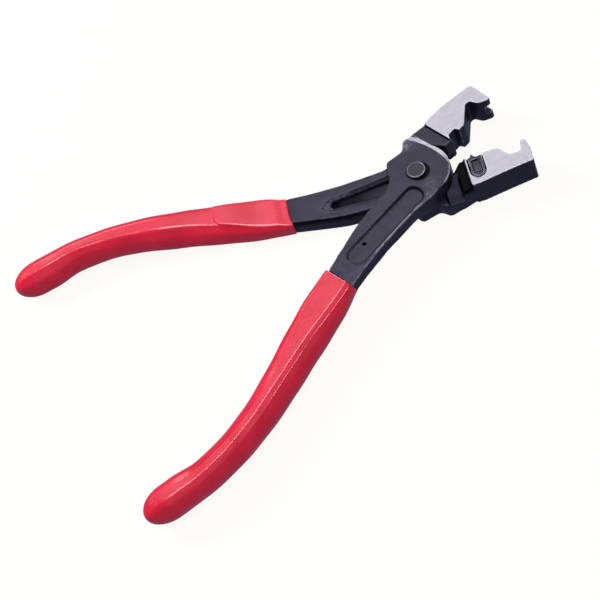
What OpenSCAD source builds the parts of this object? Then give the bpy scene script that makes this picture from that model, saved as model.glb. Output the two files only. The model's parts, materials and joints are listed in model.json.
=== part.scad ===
// Hose-clip pliers: two crossed forged levers on a riveted lap joint, with dipped grips.
//
// Each lever is drawn in its own closed frame: the pivot axis is Z, the plane where the
// levers meet is z = 0, the jaws point along +X, the handle runs to -X on the -Y side and
// the jaw lies on the +Y side. The rear lever is the same blank turned over about X.
// The assembled part has +X towards the jaws, +Z up, and the rear plate's outer face,
// which the pliers lie on, at z = 0.

/* [Pose] */
// Angle that each lever is open from closed, in degrees
open_half = 17.3; // [0:0.1:22.5]

/* [Lap joint] */
// Height of each lap plate's outer face above the plane where the levers meet
plate_h = 6.1; // [5.8:0.1:6.5]
// Radius of the round end of each lap plate
plate_r = 11.2; // [10.8:0.1:11.4]
// Clearance between the two lap plates
lap_gap = 0.2; // [0.1:0.05:0.4]
// Radial clearance between one lap plate's edge and the other lever's neck
arc_gap = 0.3; // [0.2:0.05:0.6]

/* [Pivot rivet] */
// Diameter of the rivet's shank
rivet_d = 5; // [4:0.1:5.6]
// Diameter of the rivet's flat round head
head_d = 6.4; // [6:0.1:7.4]
// Height of the rivet's head
head_h = 0.75; // [0.5:0.05:1.2]
// Radial clearance of the rivet in the front lever
run_gap = 0.05; // [0.02:0.01:0.1]

/* [Jaws] */
// Half of the jaws' thickness, from the meeting plane to a ground face
jaw_h = 5; // [4.6:0.1:5.3]
// Height of the recessed neck between lap plate and jaw
neck_h = 4.2; // [3.6:0.1:4.4]
// Length of the jaws from the pivot axis
jaw_x = 37.2; // [36.8:0.1:38]
// Gap that stays between the jaws' meeting edges when they are closed
close_gap = 0.3; // [0.2:0.05:0.6]
// Width of the slot that forks the end of the upper jaw
fork_w = 3.8; // [3:0.1:4.4]
// Depth of that slot
fork_l = 2.3; // [1.6:0.1:2.6]

/* [Jaw insert] */
// Width of the insert and of its round lower end
insert_w = 4.6; // [4:0.1:4.8]
// Thickness of the jaw wall behind the insert
back_wall = 2.6; // [2:0.1:3.5]
// Depth of the insert's face below the ground face
insert_sink = 0.4; // [0.2:0.1:0.8]
// Diameter of the insert's retaining pin
pin_d = 1.8; // [1.4:0.1:2]

/* [Shank] */
// Height of the shank's outer face where it enters the grip
shank_h = 5.4; // [5:0.1:5.5]
// Height of the shank's inner face, clear of the other lever
shank_in = 0.8; // [0.5:0.1:1]
// Depth of the wide channel in the outer face
outer_channel = 0.8; // [0.4:0.1:1.2]
// Depth of the tapered channel in the inner face
inner_channel = 1.9; // [1.2:0.1:2.2]

/* [Handle] */
// Angle that the straight part of the handle leans away from the centre line
lean = 12.8; // [12:0.1:14]
// Length of the handle's straight part, from the grip's open end
straight = 42.5; // [38:0.5:46]
// Radius of the handle's bow
bow_r = 96; // [90:1:110]
// Angle that the bow turns through
bow_turn = 28; // [25:0.5:30]
// Length of the handle, along its centre line, from the grip's open end
handle_l = 99.5; // [96:0.5:102]

/* [Grips] */
// Width of a grip at its open end
grip_open_w = 12.1; // [11.6:0.1:12.6]
// Width of a grip along the bow
grip_w = 10.4; // [9.8:0.1:11]
// Thickness of a grip at its open end
grip_open_t = 5.9; // [5.7:0.1:6.2]
// Thickness of a grip along the bow
grip_t = 10.6; // [9.8:0.1:11]
// How far the rear grip's slanted open edge runs along the shank, from side to side
rear_slant = 2.4; // [0:0.2:3]

/* [Hidden] */

$fn = 64;
eps = 0.01;
over = 1;
arc_step = 9;

steel_dark = "#45404a";
grip_red = "#c8102e";

inner_z = lap_gap / 2;
wall_r = plate_r + arc_gap;
meet_y = -0.57;
upper_y = meet_y + close_gap / 2;
lower_y = -meet_y + close_gap / 2;
end_x = jaw_x - 0.9;

// How much further the rear lever's back edge stands out round the lap joint
rear_out = 0.7;
// Shares of that by which its inner edge stands out beside the lap joint, along the shank
// and under the grip
lap_share = 1;
shank_share = 1.3;
tail_share = 0.4;
// Where the round end of a lap plate takes over from its straight-sided plan
round_x = -1;
round_y = 3.2;
bevel_r = 28;
bevel_x = 9.45;
bevel_y = 1.2;
bevel_h = 1;
bevel_w = 2.4;
neck_x = 7;
cheek_x = 12.4;

tail_h = 1;
tail_flare = 0.8;
head_gap = 0.1;
head_rim = 0.25;

handle_start = [-44.8, -5.7];
tang_w = 7.6;
tang_t = 4.6;
tang_start = -3;
tang_l = handle_l - 8;
tang_steps = 24;
cap = 6.5;
slant_l = 10;

slot_x = 19.15;
slot_end_y = 6.9;
pin_y = 6.1;
fit_gap = 0.05;
insert_front = insert_sink - jaw_h;
insert_back = jaw_h - back_wall - fit_gap;
insert_rim = 0.8;
insert_recess = 0.5;
horn_y = -0.85;
valley_y = 0.95;

// ---- Outlines -------------------------------------------------------------

function unit(v) = v / norm(v);

// Points of one corner [x, y, radius] between its two neighbours
function corner(c, before, after) =
    let (p = [c[0], c[1]],
         a = unit([before[0], before[1]] - p),
         b = unit([after[0], after[1]] - p),
         half = acos(max(-1, min(1, a * b))) / 2)
    c[2] == 0 || half > 89.5 ? [p] :
    let (centre = p + unit(a + b) * c[2] / sin(half),
         from = p + a * c[2] / tan(half) - centre,
         to = p + b * c[2] / tan(half) - centre,
         start = atan2(from[1], from[0]),
         raw = atan2(to[1], to[0]) - start,
         turn = raw > 180 ? raw - 360 : raw < -180 ? raw + 360 : raw,
         steps = max(2, ceil(abs(turn) / arc_step)))
    [for (i = [0:steps])
        centre + c[2] * [cos(start + turn * i / steps), sin(start + turn * i / steps)]];

// Closed outline through corners [x, y, radius]
function rounded(pts) =
    let (n = len(pts))
    [for (i = [0:n - 1]) each corner(pts[i], pts[(i + n - 1) % n], pts[(i + 1) % n])];

// Plan of the lap plate, its step and the shank, up to the grip. The back edge round the
// lap joint stands out by the given amount, and the inner edge by shares of it.
function plate_plan(out) = [
    [-48, -12.2, 0], [-37, -10.8, 30], [-27, -10, 60], [-12, -10.1, 30], [-3, -11.3, 12],
    [6, -9.4, 0], [10.7, round_y, 0], [10.9, 11.8 + out, 1], [6, 11.8 + out, 2.5],
    [3.2, 9.6 + out, 2], [-3.2, 11 + out, 1.8], [-9, 3.5 + lap_share * out, 8],
    [-26, 3 + shank_share * out, 50], [-48, -1.7 + tail_share * out, 0]
];

// Plan of the neck between the lap plate and the jaw, whose stop face is at y = edge_y
function neck_plan(edge_y, out) = [
    [4, 3, 0], [4, 10.6 + out, 0], [7, 12.4 + out, 2], [11, 12.6 + out, 4], [17, 11.4, 0],
    [17, edge_y, 0], [13.9, edge_y, 0.8], [11, 4.4, 0]
];

// Plan of the upper jaw, with its step, ramp, pocket and tip
upper_plan = [
    [16.25, 11.5, 0.4], [24, 11.2, 40], [jaw_x - 0.3, 8.7, 1.6],
    [end_x, upper_y, 0.6], [35, upper_y, 0.8], [32.4, 1.3, 2.5], [31.4, 4.6, 0.9],
    [29.6, 4.6, 1], [23.3, upper_y, 1.5], [20.8, upper_y, 0.5], [20.2, 1.35, 0.4],
    [17.5, 1.35, 0.3], [16.25, upper_y, 0]
];

// Plan of the lower jaw, turned over, with its hump, pocket and hook
lower_plan = [
    [15.3, lower_y, 0.2], [26.9, lower_y, 2.2], [30.2, 4.9, 1.8], [34.1, 4.95, 0.9],
    [34.9, lower_y, 0.7], [36.4, lower_y, 0.8], [jaw_x, 5, 3], [jaw_x - 0.1, 9.8, 0.5],
    [15.6, 11.9, 0.8]
];

// Rim of the wide, shallow channel in the shank's outer face
outer_rim = [[-38.4, -8.9, 3], [-38.2, -1.7, 3], [-4.6, -1.8, 3], [-4.6, -9, 3]];
outer_floor_h = 5.8;

// Rim of the tapered channel in the shank's inner face, and of its deeper floor
inner_rim = [[-34.8, -2.9, 1.3], [-31.3, -5.2, 2], [-7, -7.2, 3], [-7, 1.8, 3], [-31, -0.9, 2]];
inner_floor = [[-31, -3.1, 1], [-30, -4.7, 1.2], [-8, -6.2, 2.4], [-8, 0.6, 2.4], [-30, -1.9, 1]];
inner_step = 0.5;

// Side view of the blank: [x, z] of the outer face, then of the inner face
blank_side = [
    [14, plate_h, 0], [-8, plate_h, 40], [-44, shank_h, 120], [-80, 4, 80],
    [-142, 3.2, 0], [-142, 3.2 - tang_t, 0], [-80, 4 - tang_t, 80], [-46, shank_in, 0],
    [-10, shank_in, 0], [-8.6, inner_z, 0], [14, inner_z, 0]
];

// ---- Handle centre line and grip section ----------------------------------

// Point on the handle's centre line, s along it from the grip's open end
function handle_point(s) =
    let (knee = handle_start - straight * [cos(lean), sin(lean)],
         centre = knee + bow_r * [-sin(lean), cos(lean)],
         bow_l = bow_r * bow_turn * PI / 180,
         turned = min(max(s - straight, 0), bow_l) / bow_l * bow_turn - lean,
         on_bow = centre + bow_r * [-sin(turned), -cos(turned)],
         past = max(s - straight - bow_l, 0))
    s < straight ? handle_start - s * [cos(lean), sin(lean)]
                 : on_bow + past * [-cos(turned), sin(turned)];

// Heading of the centre line at s, in degrees from -X, positive towards +Y
function handle_turn(s) =
    min(max(s - straight, 0) / (bow_r * PI / 180), bow_turn) - lean;

function smooth(t) = let (u = min(max(t, 0), 1)) u * u * (3 - 2 * u);

// Width and thickness of the grip at s
function grip_width(s) = grip_open_w + (grip_w - grip_open_w) * smooth(s / 45)
                         + 0.2 * smooth((s - 75) / 15);
function grip_thick(s) = grip_open_t + (grip_t - grip_open_t) * smooth(s / 50);

// Fraction of the full section that is left near the round end
function grip_end(s) =
    let (t = min(max((s - (handle_l - cap)) / cap, 0), 1)) sqrt(1 - t * t * 0.985);

// Squareness of the section: high near the open end, rounder towards the tip
function grip_power(s) = 6 - 3.4 * smooth(s / 60);

// Height of the section's centre: its outer side stays level with the plate
function grip_z(s) = plate_h - 0.1 - grip_thick(s) / 2;

// One ring of the grip's surface, in the lever's closed frame, of n points. The slant
// moves one side of the open edge towards the tip and the other towards the jaws.
function grip_ring(s, n, slant) =
    let (p = handle_point(s), h = handle_turn(s), k = grip_end(s), e = 2 / grip_power(s))
    [for (i = [0:n - 1])
        let (a = 360 * i / n,
             across = sign(cos(a)) * pow(abs(cos(a)), e) * k * grip_width(s) / 2,
             up = sign(sin(a)) * pow(abs(sin(a)), e) * k * grip_thick(s) / 2,
             along = slant * across / grip_width(s) * (1 - smooth(s / slant_l)))
        [p[0] + across * sin(h) + along * cos(h), p[1] + across * cos(h) - along * sin(h),
         grip_z(s) + up]];

// ---- Levers ---------------------------------------------------------------

module plan(pts, low, high) {
    translate([0, 0, low]) linear_extrude(high - low) polygon(rounded(pts));
}

module side_view() {
    translate([0, 30, 0]) rotate([90, 0, 0]) linear_extrude(60) polygon(rounded(blank_side));
}

// Steel tang under the grip: a flat bar along the centre line
module tang() {
    stations = [for (i = [0:tang_steps]) tang_start + (tang_l - tang_start) * i / tang_steps];
    sides = [for (side = [1, -1], i = [0:tang_steps])
        let (s = stations[side > 0 ? i : tang_steps - i], h = handle_turn(s))
        handle_point(s) + side * tang_w / 2 * [sin(h), cos(h)]];
    intersection() {
        translate([0, 0, -plate_h]) linear_extrude(3 * plate_h) polygon(sides);
        side_view();
    }
}

// Lap plate with the bevelled edge towards the jaw, and the flat shank
module plate_and_shank(out) {
    bevel_low = plate_h - bevel_h;
    intersection() {
        union() {
            plan(plate_plan(out), 0, plate_h);
            intersection() {
                cylinder(r = plate_r, h = plate_h);
                translate([round_x, round_y - 20, 0]) cube([20, 20, plate_h]);
            }
        }
        side_view();
        translate([bevel_x - bevel_r, bevel_y, 0]) union() {
            cylinder(r = bevel_r + 3, h = bevel_low);
            translate([0, 0, bevel_low - eps])
                cylinder(r1 = bevel_r + bevel_w, r2 = bevel_r, h = bevel_h + eps);
        }
    }
}

// Neck that joins the plate to the jaw, and passes round the other lever's plate
module neck(edge_y, out) {
    plan(neck_plan(edge_y, out), inner_z, neck_h);
    difference() {
        plan(neck_plan(edge_y, out), -neck_h, inner_z + eps);
        translate([0, 0, -neck_h - over]) cylinder(r = wall_r, h = neck_h + 2 * over);
        translate([neck_x - 20, -20, -neck_h - over]) cube([20, 40, neck_h + 2 * over]);
        // Sloping cheek that clears the other lever's shank when open
        rotate([90, 0, 90]) linear_extrude(cheek_x)
            polygon([[5.2, -neck_h - over], [5.2, -neck_h], [14, 0.2], [14, -neck_h - over]]);
    }
}

// The blank that both levers share, given its stop face, how far its back edge stands
// out, and its jaw as a child
module lever(edge_y, out) {
    difference() {
        union() {
            plate_and_shank(out);
            neck(edge_y, out);
            tang();
            children();
        }
        plan(outer_rim, outer_floor_h - outer_channel, plate_h + over);
        plan(inner_rim, -over, shank_in + inner_step);
        plan(inner_floor, -over, shank_in + inner_channel);
    }
}

// Upper jaw, forked at its end
module upper_jaw() {
    difference() {
        plan(upper_plan, -jaw_h, jaw_h);
        translate([end_x - fork_l, -20, -fork_w / 2]) cube([20, 40, fork_w]);
    }
}

// Outline of the insert, up to the given height: straight sides and a round end
module insert_plan(w, top) {
    translate([slot_x, slot_end_y]) circle(d = w);
    translate([slot_x - w / 2, top]) square([w, slot_end_y - top]);
}

// Lower jaw with a pocket for the insert, open at the jaw's edge and on its front face
module lower_jaw() {
    difference() {
        plan(lower_plan, -jaw_h, jaw_h);
        translate([0, 0, -jaw_h - over]) linear_extrude(2 * jaw_h - back_wall + over)
            insert_plan(insert_w + 2 * fit_gap, horn_y - over);
        translate([slot_x, pin_y, 0]) cylinder(d = pin_d, h = jaw_h + over);
    }
}

module in_front() {
    translate([0, 0, plate_h]) rotate([0, 0, open_half]) children();
}

module in_rear() {
    translate([0, 0, plate_h]) rotate([0, 0, -open_half]) rotate([180, 0, 0]) children();
}

module front_lever() {
    color(steel_dark) in_front() difference() {
        lever(upper_y, 0) upper_jaw();
        cylinder(d = rivet_d + 2 * run_gap, h = 3 * plate_h, center = true);
    }
}

module rear_lever() {
    color(steel_dark) in_rear() difference() {
        lever(lower_y, rear_out) lower_jaw();
        cylinder(d = rivet_d, h = 3 * plate_h, center = true);
        // Countersink for the rivet's flared tail
        translate([0, 0, plate_h - tail_h])
            cylinder(r1 = rivet_d / 2, r2 = rivet_d / 2 + tail_flare, h = tail_h);
        translate([0, 0, plate_h - eps]) cylinder(r = rivet_d / 2 + tail_flare, h = over);
    }
}

// ---- Rivet ----------------------------------------------------------------

module pivot_rivet() {
    head_z = 2 * plate_h + head_gap;
    top_z = head_z + head_h;
    r = rivet_d / 2;
    color(steel_dark) rotate_extrude() polygon([
        [0, 0], [r + tail_flare, 0], [r, tail_h], [r, head_z], [head_d / 2, head_z],
        [head_d / 2, top_z - head_rim], [head_d / 2 - head_rim, top_z], [0, top_z]
    ]);
}

// ---- Grips ----------------------------------------------------------------

module grip(slant, out) {
    sides = 28;
    stations = concat([0, 0.6], [for (i = [1:30]) 3 * i],
                      [for (a = [5:10:85]) handle_l - cap + cap * sin(a)], [handle_l]);
    rings = len(stations);
    points = [for (s = stations) each grip_ring(s, sides, slant)];
    walls = [for (r = [0:rings - 2], i = [0:sides - 1])
        let (a = r * sides + i, b = r * sides + (i + 1) % sides)
        each [[a, b, b + sides], [a, b + sides, a + sides]]];
    ends = [[for (i = [sides - 1:-1:0]) i],
            [for (i = [0:sides - 1]) (rings - 1) * sides + i]];
    difference() {
        polyhedron(points, concat(walls, ends), convexity = 4);
        tang();
        intersection() {
            plan(plate_plan(out), -over, plate_h);
            side_view();
        }
    }
}

module front_grip() {
    color(grip_red) in_front() grip(0, 0);
}

module rear_grip() {
    color(grip_red) in_rear() grip(rear_slant, rear_out);
}

// ---- Insert and its pin ---------------------------------------------------

// Drawn in the rear lever's closed frame, turned over, like the lower jaw
module jaw_insert() {
    shoulder_y = 2;
    left = slot_x - insert_w / 2;
    right = slot_x + insert_w / 2;
    color(steel_dark) in_rear() difference() {
        translate([0, 0, insert_front]) linear_extrude(insert_back - insert_front) union() {
            insert_plan(insert_w, shoulder_y);
            polygon([[left, shoulder_y + eps], [left, lower_y], [17.6, lower_y],
                     [18.4, horn_y], [18.8, 0.2], [19.6, valley_y], [20.6, valley_y],
                     [21.2, lower_y], [right, lower_y], [right, shoulder_y + eps]]);
        }
        // Shallow recess in the face, which leaves a rim round the insert
        translate([0, 0, insert_front - over]) linear_extrude(over + insert_recess)
            insert_plan(insert_w - 2 * insert_rim, shoulder_y);
        translate([slot_x, pin_y, 0]) cylinder(d = pin_d, h = 3 * jaw_h, center = true);
    }
}

module insert_pin() {
    recess = 0.1;
    color(steel_dark) in_rear() translate([slot_x, pin_y, insert_front + recess])
        cylinder(d = pin_d, h = jaw_h - insert_front - 2 * recess);
}

front_lever();
rear_lever();
pivot_rivet();
front_grip();
rear_grip();
jaw_insert();
insert_pin();
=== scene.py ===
"""Looks for the hose-clip pliers: softened forgings, dipped grips, materials, light and camera."""
import json
import math

import bpy
import numpy as np
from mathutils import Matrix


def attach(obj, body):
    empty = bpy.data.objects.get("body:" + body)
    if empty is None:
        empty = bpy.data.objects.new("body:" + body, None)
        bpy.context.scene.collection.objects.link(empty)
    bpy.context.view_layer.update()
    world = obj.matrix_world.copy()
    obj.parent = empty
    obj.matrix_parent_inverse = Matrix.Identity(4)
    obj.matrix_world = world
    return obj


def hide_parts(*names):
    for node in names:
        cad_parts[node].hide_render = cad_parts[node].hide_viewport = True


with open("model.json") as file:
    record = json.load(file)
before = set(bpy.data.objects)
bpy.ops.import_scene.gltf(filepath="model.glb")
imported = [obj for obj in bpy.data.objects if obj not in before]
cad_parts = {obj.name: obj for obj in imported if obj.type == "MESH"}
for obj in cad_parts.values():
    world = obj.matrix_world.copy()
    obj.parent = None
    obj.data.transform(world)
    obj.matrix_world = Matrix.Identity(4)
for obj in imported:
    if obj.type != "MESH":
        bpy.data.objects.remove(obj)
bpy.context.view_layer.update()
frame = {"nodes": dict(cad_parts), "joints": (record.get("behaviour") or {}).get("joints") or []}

import openvdb as vdb
from mathutils import Euler, Vector

MM = 0.001
PIVOT = frame["joints"][0]
MEET_Z = PIVOT["pos_m"][2] / MM
HALF_OPEN = math.radians(-PIVOT["range_deg"][0] / 2)
rng = np.random.default_rng(7)


# ---- The levers' closed frames ----------------------------------------------
# Each lever is described in its own closed frame, in millimetres: jaws along +X, handle to
# -X, the lever's jaw on the +Y side, its own outer face up, and z = 0 where the levers meet.

def turn(p, angle):
    """Points turned about the Z axis."""
    c, s = math.cos(angle), math.sin(angle)
    return np.column_stack([p[:, 0] * c - p[:, 1] * s, p[:, 0] * s + p[:, 1] * c, p[:, 2]])


def to_closed(p, rear):
    """From the row frame in metres to a lever's closed frame in millimetres."""
    p = np.asarray(p, float) / MM - [0, 0, MEET_Z]
    p = turn(p, HALF_OPEN if rear else -HALF_OPEN)
    return p * [1, -1, -1] if rear else p


def to_row(p, rear):
    """From a lever's closed frame back to the row frame."""
    p = np.asarray(p, float) * [1, -1, -1] if rear else np.asarray(p, float)
    p = turn(p, -HALF_OPEN if rear else HALF_OPEN)
    return (p + [0, 0, MEET_Z]) * MM


def smooth(t):
    """0 to 1 with level ends."""
    t = np.clip(t, 0, 1)
    return t * t * (3 - 2 * t)


def ramp(x, low, high):
    """0 below low and 1 above high, with a smooth rise between."""
    return smooth((np.asarray(x, float) - low) / (high - low))


# ---- Meshes -----------------------------------------------------------------

def make_object(name, points, faces):
    """A smooth-shaded mesh object from row-frame points in metres and equal-sided faces."""
    points, faces = np.asarray(points, np.float32), np.asarray(faces, np.int32)
    sides = faces.shape[1]
    a, b, c = (points[faces[:, i]].astype(float) for i in (0, 1, 2))
    volume = np.einsum("ij,ij->i", a, np.cross(b, c)).sum()
    if sides == 4:
        d = points[faces[:, 3]].astype(float)
        volume += np.einsum("ij,ij->i", a, np.cross(c, d)).sum()
    if volume < 0:
        faces = faces[:, ::-1]
    mesh = bpy.data.meshes.new(name)
    mesh.vertices.add(len(points))
    mesh.vertices.foreach_set("co", points.ravel())
    mesh.loops.add(faces.size)
    mesh.loops.foreach_set("vertex_index", faces.ravel())
    mesh.polygons.add(len(faces))
    mesh.polygons.foreach_set("loop_start", np.arange(len(faces)) * sides)
    mesh.update(calc_edges=True)
    mesh.validate()
    mesh.shade_smooth()
    obj = bpy.data.objects.new(name, mesh)
    bpy.context.scene.collection.objects.link(obj)
    return obj


def node_mesh(node):
    """Points in metres and triangles of a CAD node."""
    mesh = frame["nodes"][node].data
    points = np.zeros(len(mesh.vertices) * 3)
    mesh.vertices.foreach_get("co", points)
    mesh.calc_loop_triangles()
    tris = np.zeros(len(mesh.loop_triangles) * 3, np.int32)
    mesh.loop_triangles.foreach_get("vertices", tris)
    return points.reshape(-1, 3), tris.reshape(-1, 3)


def level_set(points, faces, voxel, reach):
    """Signed distances round a closed mesh, kept to the given reach on both sides."""
    sort = "quads" if faces.shape[1] == 4 else "triangles"
    return vdb.FloatGrid.createLevelSetFromPolygons(
        points=np.ascontiguousarray(points, np.float32),
        transform=vdb.createLinearTransform(voxelSize=voxel),
        halfWidth=reach / voxel + 2,
        **{sort: np.ascontiguousarray(faces, np.uint32)},
    )


def soften(points, faces, round_r, fillet_r, voxel):
    """A level set of the shape with its edges rounded and its inner corners filleted."""
    grid = level_set(points, faces, voxel, max(round_r, fillet_r))
    for offset in (-round_r, round_r, fillet_r, -fillet_r):
        if offset:
            p, q = grid.convertToQuads(offset)
            grid = level_set(p, q, voxel, max(round_r, fillet_r))
    return grid


def field(grid, low, shape):
    """The level set's distances as a plain array."""
    values = np.zeros(shape, np.float32)
    grid.copyToArray(values, ijk=tuple(int(v) for v in low))
    return values


def lumps(shape, cell, amount):
    """Smooth random unevenness over a voxel array, with lumps of the given size in voxels."""
    coarse = rng.normal(0, 1, [int(n / cell) + 3 for n in shape]).astype(np.float32)
    out = coarse
    for axis, n in enumerate(shape):
        t = np.arange(n) / cell
        i = t.astype(int)
        f = smooth(t - i).astype(np.float32)
        keep = [None] * 3
        keep[axis] = slice(None)
        f = f[tuple(keep)]
        out = np.take(out, i, axis) * (1 - f) + np.take(out, i + 1, axis) * f
    return out * amount


def convexity(obj):
    """How sharply the surface bends outward at each vertex, in 1/mm, from its edges."""
    mesh = obj.data
    n = len(mesh.vertices)
    co, no = np.zeros(n * 3), np.zeros(n * 3)
    mesh.vertices.foreach_get("co", co)
    mesh.vertex_normals.foreach_get("vector", no)
    co, no = co.reshape(-1, 3) / MM, no.reshape(-1, 3)
    edges = np.zeros(len(mesh.edges) * 2, np.int32)
    mesh.edges.foreach_get("vertices", edges)
    a, b = edges.reshape(-1, 2).T
    both, other = np.concatenate([a, b]), np.concatenate([b, a])
    d = co[other] - co[both]
    length2 = np.maximum((d * d).sum(1), 1e-6)
    count = np.maximum(np.bincount(both, minlength=n), 1)
    bend = np.bincount(both, -(d * no[both]).sum(1) / length2, n) / count
    for _ in range(2):
        bend = (bend + np.bincount(both, bend[other], n)) / (1 + count)
    return co, no, bend


def paint(obj, name, channels):
    """Stores 0 to 1 values per vertex in a colour attribute that the material reads."""
    data = np.ones((len(obj.data.vertices), 4), np.float32)
    for i, channel in enumerate(channels):
        data[:, i] = np.clip(channel, 0, 1)
    layer = obj.data.color_attributes.new(name, "FLOAT_COLOR", "POINT")
    layer.data.foreach_set("color", data.ravel())


def near_line(p, line, width):
    """1 on a polyline in the XY plane, falling to 0 at the given distance from it."""
    best = np.full(len(p), 1e9)
    for (x0, y0), (x1, y1) in zip(line, line[1:]):
        d = np.array([x1 - x0, y1 - y0])
        t = np.clip(((p[:, :2] - [x0, y0]) @ d) / (d @ d), 0, 1)
        gap = p[:, :2] - ([x0, y0] + t[:, None] * d)
        best = np.minimum(best, np.hypot(gap[:, 0], gap[:, 1]))
    return 1 - ramp(best, 0, width)


def spot(p, x, y, r):
    """1 at a point in the XY plane, fading out round it."""
    return np.exp(-((p[:, 0] - x) ** 2 + (p[:, 1] - y) ** 2) / (r * r))


# ---- Levers: softened copies of the CAD forgings ------------------------------

VOXEL = 0.17
FORGED_ROUND, FORGED_FILLET = 0.4, 0.5
LUMP_SIZE, LUMP_HEIGHT = 2.8, 0.035
JAW_START = 15.2
JAW_H = 5.0
PLATE_H = MEET_Z
BEVEL_X = 12.6
# The punch dot at the wide channel's edge
DOT_X, DOT_Y, DOT_Z, DOT_R = -30.5, -4.0, 5.3, 0.85
# The insert's slot: the centre of its round end, its radius, and where its floor lies
SLOT_X, SLOT_Y, SLOT_R, SLOT_FLOOR = 19.15, 6.9, 2.45, -4.1
# Where the shank enters the grip, and how far it leans across per millimetre there
SHANK_X, SHANK_Y, SHANK_SLOPE = -44.8, -5.7, 0.227
# The side of the rivet where its painted shadow reaches furthest, in the row's XY plane
RIVET_SHADOW_X, RIVET_SHADOW_Y = 0.593, -0.805
# The flat cheek on the neck that stays out of the painted shadow: its normal in the closed frame
CHEEK_Y, CHEEK_Z = 0.447, -0.894
# The lap plate's round edge towards the jaws
ARC = [(11.1 * math.cos(math.radians(a)), 11.1 * math.sin(math.radians(a)))
       for a in range(18, -61, -6)]
# Where handling wears the shank's back edge
BACK_EDGE = [(-2, -11.2), (-9, -10.2), (-20, -9.7), (-30, -10), (-36, -10.8), (-45, -11.9)]
# The plate's shoulder, and the rim of the tapered channel
SHOULDER = [(3.4, 10.6), (6.2, 11.6), (10.2, 11.6)]
CHANNEL_RIM = [(-30.5, -5.2), (-24, -5.7)]
# The rear shank's inner edge in plan: x, then y
INNER_EDGE = ((-48, -26, -12, -9), (-1.4, 3.9, 4.2, 4.2))


def slot_distance(x, y):
    """Distance in plan from the middle line of the insert's slot."""
    return np.hypot(x - SLOT_X, np.maximum(y - SLOT_Y, 0))


def forging_mesh(node, rear):
    """The CAD lever as a softened forging with crisp machined jaws, in its closed frame."""
    points, tris = node_mesh(node)
    closed = to_closed(points, rear)
    forged = soften(closed, tris, FORGED_ROUND, FORGED_FILLET, VOXEL)
    ground = level_set(closed, tris, VOXEL, 0.5)
    low = np.floor(closed.min(0) / VOXEL).astype(int) - 4
    shape = tuple(np.ceil(closed.max(0) / VOXEL).astype(int) + 5 - low)
    axes = [(low[i] + np.arange(shape[i])) * VOXEL for i in range(3)]
    x, y, z = np.meshgrid(*axes, indexing="ij", sparse=True)
    # The jaws and the plate's bevel are machined crisp; the rest keeps its forged softness
    back_corner = ramp(y, 9.5, 10.5) * ramp(19 - x, 0, 3)
    crisp = np.maximum(ramp(x, JAW_START - 0.6, JAW_START + 0.8) * (1 - back_corner),
                       ramp(x, 4.5, 6) * ramp(z, 4, 4.6) * ramp(BEVEL_X - x, 0, 1))
    values = field(forged, low, shape) * (1 - crisp) + field(ground, low, shape) * crisp
    values += lumps(shape, LUMP_SIZE / VOXEL, LUMP_HEIGHT) * (1 - crisp)
    dot = DOT_R - np.sqrt((x - DOT_X) ** 2 + (y - DOT_Y) ** 2 + (z - DOT_Z) ** 2)
    values = np.maximum(values, dot)
    if rear:
        # Gap round the insert, open to the jaw's edge
        gap = np.minimum(0.26 - abs(slot_distance(x, y) - SLOT_R), SLOT_FLOOR - z)
        values = np.maximum(values, gap)
    grid = vdb.FloatGrid(float(values.max()))
    grid.copyFromArray(np.ascontiguousarray(values, np.float32), ijk=tuple(int(v) for v in low))
    grid.transform = vdb.createLinearTransform(voxelSize=VOXEL)
    p, quads = grid.convertToQuads(0)
    p = np.array(p, float)
    # Inside the grip the shank narrows, so that it stays under the dip coat
    inside = ramp(-p[:, 0], 44.2, 45.6)
    across = p[:, 1] - SHANK_Y - (p[:, 0] - SHANK_X) * SHANK_SLOPE
    p[:, 1] -= 0.9 * inside * np.sign(across) * ramp(abs(across), 3, 5)
    p[:, 2] -= 0.5 * inside * ramp(p[:, 2], 3, 5)
    if rear:
        # Forging draft: the shank's inner wall leans out from its face to the parting line
        edge_y = np.interp(p[:, 0], *INNER_EDGE)
        side = ramp(p[:, 1], edge_y - 2.0, edge_y - 0.3) * ramp(p[:, 0], -46.5, -44)
        side = side * ramp(-9 - p[:, 0], 0, 4)
        p[:, 1] += side * (1.1 * ramp(p[:, 2], 1.0, 2.6) - 0.5)
        # and the back of the neck stands out a little
        back_wall = ramp(p[:, 1], 8.5, 11) * ramp(p[:, 0], -6, -2)
        p[:, 1] += 0.45 * (back_wall * (1 - 0.6 * ramp(p[:, 0], 16, 30)))
    return p, quads


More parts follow.
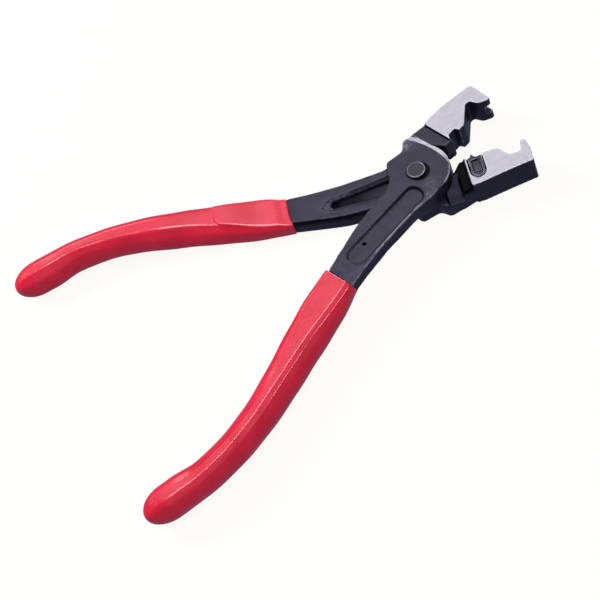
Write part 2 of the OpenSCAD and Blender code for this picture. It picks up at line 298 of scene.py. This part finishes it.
def lever_finish(co, no, bend, rear):
    """Bare metal, worn edges, rubbed patches and painted shade at each vertex of a lever."""
    c = to_closed(co * MM, rear)
    x, y, z = c.T
    up = no[:, 2] * (-1 if rear else 1)
    flat = np.maximum(ramp(up, 0.9, 0.98), ramp(-up, 0.9, 0.98))
    jaw = ramp(x, JAW_START - 0.1, JAW_START + 0.3) * ramp(abs(z), JAW_H - 0.25, JAW_H - 0.1)
    bevel = ramp(x, 1, 3) * ramp(z, 4.85, 5.1) * ramp(up, 0.25, 0.4) * (1 - ramp(up, 0.88, 0.97))
    bare = np.maximum(jaw * flat, bevel)

    # Handling wear: strongest along the back edge of the shank, faint elsewhere
    back = near_line(c, BACK_EDGE, 1.1) * ramp(z, 4.6, 5.2)
    tip = ramp(x, JAW_START - 1, JAW_START + 1)
    wear = ramp(bend, 0.12, 0.5) * (0.22 + 0.5 * back + 0.2 * tip)
    wear = np.maximum(wear, bevel * ramp(y, -9, -3) * (0.5 + 0.5 * ramp(9 - y, 0, 4)))

    # Rubbed patches on the plate, and in the channel of the inner face
    rub = 0.4 * spot(c, 5.5, 10.2, 2.0) + 0.12 * spot(c, -1, -7.6, 2.4)
    rub = (rub + 0.12 * spot(c, -5, -9.4, 2.0)) * ramp(z, 4.5, 5.5)
    rub += 0.7 * near_line(c, SHOULDER, 0.9) * ramp(z, 5.2, 5.6)
    rub += 0.8 * near_line(c, ARC, 0.7) * ramp(z, 5.2, 5.6)
    inner = ramp(-up, 0.3, 0.7)
    low_rub = 0.2 * spot(c, -32.9, -3.1, 1.5) + 0.7 * near_line(c, CHANNEL_RIM, 0.35)
    rub += inner * ramp(1.9 - z, 0, 0.4) * low_rub

    # Painted shade: the inner corners and the punch dot are darkened
    painted_shade = ramp(-bend, 0.1, 0.45)
    in_dot = ramp(1.1 - np.hypot(x - DOT_X, y - DOT_Y), 0, 0.3) * ramp(z, 4, 4.4)
    painted_shade = np.maximum(painted_shade, in_dot)
    # a painted shadow round the rivet's head, reaching further out on its shaded side
    ring = np.hypot(co[:, 0], co[:, 1])
    side = np.clip((co[:, 0] * RIVET_SHADOW_X + co[:, 1] * RIVET_SHADOW_Y) / np.maximum(ring, 0.1), 0, 1)
    painted_shade = np.maximum(painted_shade, (1 - ramp(ring - 1.1 * side, 3.2, 3.9)) * ramp(z, 4.5, 5.5))
    # painted shade in the tapered channel, darkest at its narrow end
    floor_dark = 0.8 - 0.45 * ramp(x, -25, -12) + spot(c, -30, -3.4, 1.4)
    channel = inner * ramp(z, 1.7, 2.4) * ramp(4.5 - z, 0, 0.5)
    painted_shade = np.maximum(painted_shade, channel * floor_dark)
    if rear:
        # painted shade in the gap round the insert
        in_gap = 1 - ramp(abs(slot_distance(x, y) - SLOT_R), 0.2, 0.4)
        in_gap = in_gap * ramp(-z, 3.8, 4.0) * ramp(JAW_H - 0.03 + z, 0, 0.1)
        painted_shade = np.maximum(painted_shade, in_gap)
        # painted shade in the groove at the foot of the shank's inner wall
        edge_y = np.interp(x, *INNER_EDGE)
        groove = ramp(z, 0.8, 1.1) * ramp(2.1 - z, 0, 0.5)
        wall = ramp(y, edge_y - 1.4, edge_y - 0.9) * ramp(-8 - x, 0, 2)
        wall = wall * (1 - ramp(-up, 0.7, 0.9))
        painted_shade = np.maximum(painted_shade, 0.8 * wall * groove)
    # and a painted shadow on the neck where the other lever's plate sweeps over it, apart from its
    # flat cheek; its edges there lose their wear
    neck = ramp(x, 7, 9) * ramp(JAW_START - x, -0.9, -0.5) * ramp(-z, 1, 3.5) * ramp(y, -7.5, -4.5)
    n_closed = turn(no, HALF_OPEN if rear else -HALF_OPEN) * ([1, -1, -1] if rear else [1, 1, 1])
    cheek = ramp(CHEEK_Y * n_closed[:, 1] + CHEEK_Z * n_closed[:, 2], 0.93, 0.985)
    neck = neck * (1 - cheek * ramp(JAW_START - 2.2 - x, 0, 0.5))
    return bare, wear * (1 - neck), rub, np.maximum(painted_shade, neck)


def build_lever(node, rear):
    p, quads = forging_mesh(node, rear)
    obj = make_object(node + "_forging", to_row(p, rear), quads)
    paint(obj, "finish", lever_finish(*convexity(obj), rear))
    return obj


# ---- Small steel pieces, softened the same way --------------------------------

def build_small(node, name, round_r, fillet_r, voxel):
    points, tris = node_mesh(node)
    grid = soften(points / MM, tris, round_r, fillet_r, voxel)
    p, quads = grid.convertToQuads(0)
    obj = make_object(name, p * MM, quads)
    co, no, bend = convexity(obj)
    none = np.zeros(len(co))
    # Edge wear from convexity, and painted shade in the hollows
    paint(obj, "finish", (none, ramp(bend, 0.15, 0.8), none, ramp(-bend, 0.15, 0.6)))
    return obj


# ---- Grips: a swept, dipped sleeve ---------------------------------------------

# The handle's centre line: a straight, an arc (its radius and its turn in degrees), a straight
LEAN, STRAIGHT, BOW_R, BOW_TURN = 12.8, 42.5, 96.0, 28.0
HANDLE_L = 99.5
HANDLE_START = np.array([SHANK_X, SHANK_Y])


def handle(s):
    """Point on the handle's centre line at s from the grip's open end, and its heading."""
    lean = math.radians(LEAN)
    knee = HANDLE_START - STRAIGHT * np.array([math.cos(lean), math.sin(lean)])
    centre = knee + BOW_R * np.array([-math.sin(lean), math.cos(lean)])
    bow_l = BOW_R * math.radians(BOW_TURN)
    head = math.radians(min(max(s - STRAIGHT, 0) / bow_l, 1) * BOW_TURN) - lean
    if s < STRAIGHT:
        return HANDLE_START - s * np.array([math.cos(lean), math.sin(lean)]), head
    past = max(s - STRAIGHT - bow_l, 0)
    return centre + BOW_R * np.array([-math.sin(head), -math.cos(head)]) \
        + past * np.array([-math.cos(head), math.sin(head)]), head


def rounded_corner(p, before, after, r, steps):
    """Points on the round of one corner."""
    a, b = before - p, after - p
    a, b = a / np.linalg.norm(a), b / np.linalg.norm(b)
    half = math.acos(max(-1, min(1, float(a @ b)))) / 2
    room = min(np.linalg.norm(before - p), np.linalg.norm(after - p))
    r = min(r, 0.48 * room * math.tan(half))
    centre = p + (a + b) / np.linalg.norm(a + b) * r / math.sin(half)
    f, t = p + a * r / math.tan(half) - centre, p + b * r / math.tan(half) - centre
    start = math.atan2(f[1], f[0])
    raw = (math.atan2(t[1], t[0]) - start + math.pi) % (2 * math.pi) - math.pi
    angles = [start + raw * i / steps for i in range(steps + 1)]
    return [centre + r * np.array([math.cos(a), math.sin(a)]) for a in angles]


# The grip's outline at stations along it, as corners (across, up) going round from the inner
# side over the outer face: the third to fifth corners are the ridges that catch the light.
OUTLINES = {
    0: [(5.6, 1.7), (4.9, 2.6), (3.9, 2.75), (-3.2, 2.95), (-4.9, 2.45), (-5.7, 1.3),
        (-5.8, -0.8), (-5.7, -2.4), (-5.0, -2.9), (5.1, -2.95), (5.7, -2.0), (5.7, 0)],
    10: [(6.25, 2.1), (5.1, 2.9), (3.65, 3.0), (-2.7, 3.25), (-4.4, 2.75), (-6.0, 1.0),
         (-6.2, -0.8), (-6.3, -2.6), (-5.4, -3.2), (4.9, -3.25), (6.1, -1.8), (6.3, 0.2)],
    22: [(6.15, 2.4), (4.5, 3.55), (2.8, 3.8), (-1.6, 4.0), (-3.2, 3.5), (-5.2, 1.7),
         (-5.9, -0.3), (-6.0, -2.9), (-4.9, -3.9), (3.15, -4.0), (5.4, -2.2), (6.05, 0)],
    34: [(5.75, 2.6), (3.8, 4.1), (1.8, 4.45), (-0.9, 4.6), (-2.6, 4.1), (-4.7, 2.2),
         (-5.5, 0), (-5.4, -3.0), (-3.8, -4.45), (2.4, -4.55), (4.7, -2.8), (5.65, -0.3)],
    46: [(5.4, 2.5), (3.5, 4.4), (1.25, 5.2), (-0.65, 5.3), (-2.4, 4.75), (-4.4, 2.6),
         (-5.2, 0), (-4.9, -2.9), (-2.9, -4.9), (2.8, -5.05), (4.7, -3.0), (5.4, -0.4)],
    54: [(5.0, 2.3), (3.2, 4.3), (1.0, 5.25), (-0.9, 5.35), (-2.6, 4.8), (-4.6, 2.5),
         (-5.2, 0), (-4.9, -2.9), (-2.9, -4.9), (2.5, -5.05), (4.4, -3.1), (5.0, -0.5)],
    76: [(4.5, 2.3), (2.7, 4.2), (0.45, 5.1), (-1.9, 5.2), (-3.5, 4.4), (-4.7, 2.4),
         (-5.2, 0), (-5.0, -3.0), (-3.0, -4.9), (0.7, -5.15), (3.7, -3.6), (4.6, -0.7)],
    87: [(5.4, 2.9), (3.4, 4.5), (0.75, 5.1), (-2.0, 5.15), (-3.6, 4.2), (-4.8, 2.4),
         (-5.2, 0), (-5.0, -3.0), (-2.8, -4.9), (1.2, -5.15), (4.6, -3.4), (5.4, -0.3)],
}
# How round each corner is at the same stations
ROUNDS = {
    0: [0.6, 0.6, 0.6, 0.9, 0.6, 0.7, 0.7, 0.6, 0.6, 0.3, 0.8, 0.8],
    10: [1.0, 1.5, 2.0, 1.5, 0.8, 2.5, 3.0, 0.9, 0.9, 0.25, 2.5, 3.0],
    22: [2.0, 3.0, 2.5, 1.5, 0.8, 4.0, 5.0, 1.6, 1.6, 0.3, 4.0, 5.0],
    34: [3.0, 4.0, 2.5, 1.5, 0.8, 5.0, 6.0, 3.0, 3.5, 2.2, 5.0, 6.0],
    46: [3.0, 4.0, 2.0, 1.5, 0.8, 5.0, 6.0, 3.5, 5.0, 2.4, 5.0, 6.0],
    54: [3.0, 4.0, 1.6, 1.5, 1.6, 5.0, 6.0, 3.5, 5.0, 2.4, 5.0, 6.0],
    76: [3.0, 4.0, 0.9, 1.5, 4.0, 5.0, 6.0, 3.5, 5.0, 3.0, 5.0, 6.0],
    87: [3.0, 4.0, 0.9, 4.0, 4.0, 5.0, 6.0, 3.5, 5.0, 3.0, 5.0, 6.0],
}
# Steps in each corner's round, and points on the flats between them
ARC_STEPS = 6
FILLS = (3, 5, 8, 4, 5, 4, 4, 3, 22, 5, 5, 4)
# The length of the rounded closed end
TIP = 9.0
# The panel on the flat side: where its round end's centre lies along the grip, and its radius
PANEL_END, PANEL_R = 22.0, 4.0
# How the open end is turned in: distance along, then inset
LIP = [(0, 0.95), (0, 0.6), (0.05, 0.38), (0.15, 0.2), (0.32, 0.08), (0.55, 0.02)]
OPEN_END_WIDTH = 12.1


def between(table, s):
    """The table's row at s, easing through its stations on a cubic."""
    keys = list(table)
    rows = np.array([table[k] for k in keys], float)
    i = min(max(int(np.searchsorted(keys, s)) - 1, 0), len(keys) - 2)
    span = keys[i + 1] - keys[i]
    t = min(max((s - keys[i]) / span, 0), 1)
    slope = [np.zeros_like(rows[0])] * 2
    for side, k in enumerate((i, i + 1)):
        if 0 < k < len(keys) - 1:
            slope[side] = (rows[k + 1] - rows[k - 1]) / (keys[k + 1] - keys[k - 1]) * span
    return (rows[i] * (2 * t ** 3 - 3 * t ** 2 + 1) + slope[0] * (t ** 3 - 2 * t ** 2 + t)
            + rows[i + 1] * (3 * t ** 2 - 2 * t ** 3) + slope[1] * (t ** 3 - t ** 2))


def section(s):
    """Closed ring of points round the grip at s."""
    corners, radii = between(OUTLINES, s), between(ROUNDS, s)
    arcs = [rounded_corner(p, corners[i - 1], corners[(i + 1) % 12], radii[i], ARC_STEPS)
            for i, p in enumerate(corners)]
    ring = []
    for i, arc in enumerate(arcs):
        nxt = arcs[(i + 1) % 12][0]
        ring += arc
        ring += [arc[-1] + (nxt - arc[-1]) * k / (FILLS[i] + 1) for k in range(1, FILLS[i] + 1)]
    return np.array(ring)


def build_grip(node, rear, slant):
    stations = list(np.arange(0.8, HANDLE_L - TIP, 0.5))
    stations += [HANDLE_L - TIP + TIP * math.sin(math.radians(a)) for a in range(0, 90, 4)]
    stations += [HANDLE_L - 0.01]
    rings = []
    for s, inset in LIP + [(s, 0) for s in stations]:
        ring = section(s)
        k = math.sqrt(max(1 - max((s - (HANDLE_L - TIP)) / TIP, 0) ** 2 * 0.9999, 0))
        across, up = ring[:, 0] * k * (1.02 if rear else 1.05), ring[:, 1] * k
        if inset:
            size = np.maximum(np.hypot(across, up), 0.01)
            across, up = across * (1 - inset / size), up * (1 - inset / size)
        # The flat end of the steel shank stands through the coat as a round-ended panel
        border, level = between(OUTLINES, s)[9]
        beyond = np.hypot(max(s - PANEL_END, 0), np.maximum(across - (border - PANEL_R), 0))
        face = ramp(-up, -level - 1.0, -level - 0.4)
        up = up - 0.4 * ramp(PANEL_R - beyond, -0.25, 0.25) * face * ramp(s, 1.2, 5)
        # The dip coat is a little uneven
        wave = 0.05 * np.sin(s * 0.45 + across * 0.3) + 0.04 * np.sin(s * 0.21 + up * 0.7 + 1.3)
        wave = wave * ramp(s, 1, 5) * k
        across, up = across * (1 + wave / 6), up * (1 + wave / 6)
        # The rear grip bulges on its inner side; each open end's rim is cut at its own slant
        if rear:
            bulge = (0.5 + 0.5 * ramp(s, 28, 42)) * ramp(across, 3.5, 6)
            across = across + bulge * (1 - 0.75 * ramp(s, 49, 62))
            along = slant * (across / OPEN_END_WIDTH + 0.3 * ramp(across, 0, 7) ** 2)
        else:
            along = 0.18 * across + 1.8 * ramp(2.9 - up, 0, 5.8)
        along = along * (1 - smooth(s / 10))
        p, h = handle(s)
        x = p[0] + across * math.sin(h) + along * math.cos(h)
        y = p[1] + across * math.cos(h) - along * math.sin(h)
        z = PLATE_H - 0.1 - grip_thick(s) / 2 + up
        rings.append(np.column_stack([x, y, z]))
    n, count = len(rings[0]), len(rings)
    points = np.concatenate(rings + [rings[0].mean(0)[None], rings[-1].mean(0)[None]])
    i = np.arange(n)
    j = (i + 1) % n
    quads = [np.column_stack([r * n + i, r * n + j, (r + 1) * n + j, (r + 1) * n + i])
             for r in range(count - 1)]
    # Each end closes on a fan of quads round its middle point
    first, last = count * n, count * n + 1
    k = np.arange(0, n, 2)
    end = (count - 1) * n
    fans = [np.column_stack([np.full(n // 2, first), (k + 2) % n, k + 1, k]),
            np.column_stack([np.full(n // 2, last), end + k, end + k + 1, end + (k + 2) % n])]
    return make_object(node + "_dip", to_row(points, rear), np.concatenate(quads + fans))


def grip_thick(s):
    """The grip's nominal thickness at s."""
    return 5.9 + 4.7 * float(smooth(s / 50))


# ---- Materials -----------------------------------------------------------------

class Nodes:
    """Short way to add nodes and links to one material."""

    def __init__(self, name):
        self.mat = bpy.data.materials.new(name)
        self.mat.use_nodes = True
        self.tree = self.mat.node_tree
        self.shader = self.tree.nodes["Principled BSDF"]

    def add(self, sort, **settings):
        node = self.tree.nodes.new("ShaderNode" + sort)
        for key, value in settings.items():
            if hasattr(node, key):
                setattr(node, key, value)
            else:
                node.inputs[key.replace("_", " ")].default_value = value
        return node

    def link(self, a, b):
        self.tree.links.new(a, b)

    def noise(self, scale, detail=3, rough=0.5, stretch=None):
        coords = self.add("TexCoord").outputs["Object"]
        if stretch:
            mapping = self.add("Mapping")
            mapping.inputs["Scale"].default_value = stretch
            self.link(coords, mapping.inputs["Vector"])
            coords = mapping.outputs["Vector"]
        node = self.add("TexNoise", Scale=scale, Detail=detail, Roughness=rough)
        self.link(coords, node.inputs["Vector"])
        return node.outputs["Fac"]

    def math(self, kind, a, b=None, c=None, clamp=False):
        node = self.add("Math", operation=kind, use_clamp=clamp)
        for i, v in enumerate((a, b, c)):
            if v is None:
                continue
            if isinstance(v, (int, float)):
                node.inputs[i].default_value = v
            else:
                self.link(v, node.inputs[i])
        return node.outputs[0]

    def fit(self, value, low, high, to_low=0.0, to_high=1.0):
        node = self.add("MapRange")
        node.clamp = True
        self.link(value, node.inputs["Value"])
        limits = {"From Min": low, "From Max": high, "To Min": to_low, "To Max": to_high}
        for key, v in limits.items():
            node.inputs[key].default_value = v
        return node.outputs["Result"]

    def mix(self, factor, a, b, colour=True):
        node = self.add("Mix", data_type="RGBA" if colour else "FLOAT")
        fac = node.inputs["Factor"]
        pair = (node.inputs[6], node.inputs[7]) if colour else (node.inputs[2], node.inputs[3])
        out = node.outputs[2] if colour else node.outputs[0]
        for socket, v in ((fac, factor), (pair[0], a), (pair[1], b)):
            if isinstance(v, (int, float)):
                socket.default_value = v
            elif isinstance(v, tuple):
                socket.default_value = (*v, 1)
            else:
                self.link(v, socket)
        return out

    def bump(self, height, strength, distance):
        node = self.add("Bump", Strength=strength, Distance=distance)
        self.link(height, node.inputs["Height"])
        self.link(node.outputs["Normal"], self.shader.inputs["Normal"])

    def set(self, **values):
        for key, v in values.items():
            socket = self.shader.inputs[key.replace("_", " ")]
            if isinstance(v, (int, float)):
                socket.default_value = v
            elif isinstance(v, tuple):
                socket.default_value = (*v, 1)
            else:
                self.link(v, socket)


def steel(name, oxide, rim_gain):
    """Black-oxide steel that wears to bare metal, with ground faces where painted bare, and near
    black where painted shade lies.
    """
    m = Nodes(name)
    layer = m.add("Attribute", attribute_name="finish")
    split = m.add("SeparateColor")
    m.link(layer.outputs["Color"], split.inputs["Color"])
    bare, wear, rub = split.outputs[0], split.outputs[1], split.outputs[2]
    fine = m.noise(1500, 4, 0.6)
    mid = m.noise(420, 4, 0.6)
    broad = m.noise(120, 3, 0.55)
    streak = m.noise(700, 3, 0.6, (0.25, 1.0, 1.0))
    # Oxide: bluish black with lighter and faintly purple patches
    deep, light = tuple(v * 0.72 for v in oxide), tuple(v * 1.3 for v in oxide)
    purple = (oxide[0] * 1.7, oxide[1] * 1.15, oxide[2] * 1.35)
    dark = m.mix(m.fit(broad, 0.35, 0.65), deep, light)
    dark = m.mix(m.fit(mid, 0.45, 0.7, 0, 0.6), dark, purple)
    # Painted shade from the attribute's alpha: oxide and ground both go near black
    shade_amount = m.math("MULTIPLY", layer.outputs["Alpha"], 0.95)
    dark = m.mix(shade_amount, dark, (0.003, 0.003, 0.004))
    # Worn to bare metal in broken patches
    worn = m.math("MULTIPLY", wear, m.fit(mid, 0.36, 0.62, 0.1, rim_gain), clamp=True)
    patch = m.math("MULTIPLY", rub, m.fit(fine, 0.42, 0.6), clamp=True)
    worn = m.math("MAXIMUM", worn, patch)
    base = m.mix(worn, dark, (0.36, 0.355, 0.37))
    # Ground faces: fine streaks along the jaw, duller patches, a shine where worn, and painted
    # shade
    ground = m.mix(m.fit(streak, 0.3, 0.7), (0.34, 0.332, 0.345), (0.42, 0.41, 0.425))
    ground = m.mix(m.fit(mid, 0.55, 0.75, 0, 0.35), ground, (0.28, 0.275, 0.29))
    shine = m.math("MULTIPLY", wear, m.fit(mid, 0.3, 0.6, 0.4, 1.0))
    ground = m.mix(shine, ground, (0.9, 0.9, 0.9))
    ground = m.mix(shade_amount, ground, (0.006, 0.006, 0.007))
    m.set(Base_Color=m.mix(bare, base, ground))
    metal = m.mix(bare, m.mix(worn, 0.5, 0.9, False), m.fit(wear, 0.3, 1.0, 0.6, 0.35), False)
    m.set(Metallic=m.mix(shade_amount, metal, 1.0, False))
    rough = m.mix(worn, m.fit(mid, 0.3, 0.7, 0.34, 0.58), 0.36, False)
    rough = m.mix(bare, rough, m.fit(streak, 0.3, 0.7, 0.42, 0.54), False)
    m.set(Roughness=m.mix(shade_amount, rough, 0.6, False))
    height = m.math("ADD", m.math("MULTIPLY", fine, m.mix(bare, 1.0, 0.25, False)), mid)
    m.bump(height, 0.35, 0.0001)
    return m.mat


def vinyl():
    """Glossy dipped vinyl: deep red with faint clouding and a gently uneven coat."""
    m = Nodes("dipped_vinyl")
    cloud = m.noise(90, 3, 0.5)
    swell = m.noise(60, 1, 0.4)
    tone = m.mix(m.fit(cloud, 0.35, 0.65), (0.57, 0.001, 0.015), (0.67, 0.003, 0.027))
    m.set(Base_Color=tone, Roughness=m.fit(cloud, 0.3, 0.7, 0.22, 0.28))
    m.set(Coat_Weight=0.35, Coat_Roughness=0.08, Specular_IOR_Level=0.55)
    m.bump(swell, 0.1, 0.001)
    return m.mat


# ---- Assembly ------------------------------------------------------------------

lever_steel = steel("black_oxide_steel", (0.017, 0.016, 0.029), 1.0)
rivet_steel = steel("rivet_steel", (0.022, 0.024, 0.030), 1.8)
insert_steel = steel("insert_steel", (0.020, 0.019, 0.028), 0.9)
grip_vinyl = vinyl()


def finish(obj, node, body, material):
    """Gives a piece its material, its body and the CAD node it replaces."""
    obj.data.materials.append(material)
    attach(obj, body)
    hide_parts(node)


finish(build_lever("front_lever", False),
       "front_lever", "front_handle", lever_steel)
finish(build_lever("rear_lever", True),
       "rear_lever", "rear_handle", lever_steel)
finish(build_small("pivot_rivet", "rivet", 0.3, 0.0, 0.1),
       "pivot_rivet", "rear_handle", rivet_steel)
finish(build_small("jaw_insert", "horned_insert", 0.1, 0.1, 0.07),
       "jaw_insert", "rear_handle", insert_steel)
finish(build_small("insert_pin", "retaining_pin", 0.2, 0.0, 0.06),
       "insert_pin", "rear_handle", insert_steel)
finish(build_grip("front_grip", False, 0.0),
       "front_grip", "front_handle", grip_vinyl)
finish(build_grip("rear_grip", True, 2.4),
       "rear_grip", "rear_handle", grip_vinyl)


# ---- Camera, light and floor -----------------------------------------------------

camera = bpy.data.objects.new("camera", bpy.data.cameras.new("camera"))
bpy.context.scene.collection.objects.link(camera)
camera.location = (-0.0922, -0.3597, 0.4860)
camera.rotation_euler = Euler([math.radians(a) for a in (32.72, 15.66, -28.95)], "XYZ")
camera.data.lens = 110.3
camera.data.clip_start = 0.01
bpy.context.scene.camera = camera

view = camera.rotation_euler.to_matrix()
RIGHT, UP, BACK = (view @ Vector(v) for v in ((1, 0, 0), (0, 1, 0), (0, 0, 1)))
MIDDLE = Vector((-0.045, 0, 0.006))
LIGHT_COLOUR = (1.0, 0.975, 1.0)


def area_light(name, right, up, back, size, power, glossy=True, diffuse=True):
    """A soft square light, placed from the part's middle in the camera's directions."""
    data = bpy.data.lights.new(name, "AREA")
    data.size, data.energy = size, power
    data.color = LIGHT_COLOUR
    light = bpy.data.objects.new(name, data)
    bpy.context.scene.collection.objects.link(light)
    light.location = MIDDLE + RIGHT * right + UP * up + BACK * back
    light.rotation_euler = (MIDDLE - light.location).to_track_quat("-Z", "Y").to_euler()
    light.visible_glossy, light.visible_diffuse = glossy, diffuse


area_light("key", -0.885, 0.461, 0.063, 0.4, 9.5, glossy=False)
area_light("glint", -0.885, 0.461, 0.063, 0.4, 2.4, diffuse=False)
area_light("fill", 0.10, 0.24, 1.0, 1.0, 6.9, glossy=False)
area_light("front", 0.2, -0.85, 0.45, 0.6, 0.5, glossy=False)
area_light("sky", -0.40, 0.76, 0.28, 0.8, 1.2)
# Lights seen only in reflections: the grips' ridges, the jaws and the plate's bevel. Here the
# direction is in the row frame.
for name, toward, size, power in (("strip_1", (0.12, 0.39, 0.91), 0.22, 1.7),
                                  ("strip_3", (-0.06, 0.31, 0.95), 0.16, 0.9),
                                  ("strip_0", (-0.01, 0.85, 0.53), 0.25, 0.5),
                                  ("strip_2", (0.47, -0.18, 0.86), 0.18, 1.8),
                                  ("bevel_strip", (0.55, 0.74, 0.38), 0.3, 2.2)):
    d = Vector(toward)
    area_light(name, d.dot(RIGHT), d.dot(UP), d.dot(BACK), size, power, diffuse=False)

floor_mesh = bpy.data.meshes.new("floor")
FLOOR_R = 3.0
floor_mesh.from_pydata([(-FLOOR_R, -FLOOR_R, 0), (FLOOR_R, -FLOOR_R, 0),
                        (FLOOR_R, FLOOR_R, 0), (-FLOOR_R, FLOOR_R, 0)], [], [(0, 1, 2, 3)])
floor = bpy.data.objects.new("floor", floor_mesh)
bpy.context.scene.collection.objects.link(floor)
floor.location.z = -0.0001
floor_mat = Nodes("pale_floor")
floor_mat.set(Base_Color=(0.09, 0.09, 0.087), Roughness=0.9, Emission_Color=(1.0, 0.992, 0.95),
              Emission_Strength=0.91, Specular_IOR_Level=0.0)
floor_mesh.materials.append(floor_mat.mat)
floor.visible_glossy = False
floor.visible_diffuse = False

world = bpy.data.worlds.new("studio")
bpy.context.scene.world = world
world.use_nodes = True
world.node_tree.nodes["Background"].inputs["Color"].default_value = (0.58, 0.60, 0.9, 1)
world.node_tree.nodes["Background"].inputs["Strength"].default_value = 0.42
bpy.context.scene.view_settings.view_transform = "Standard"
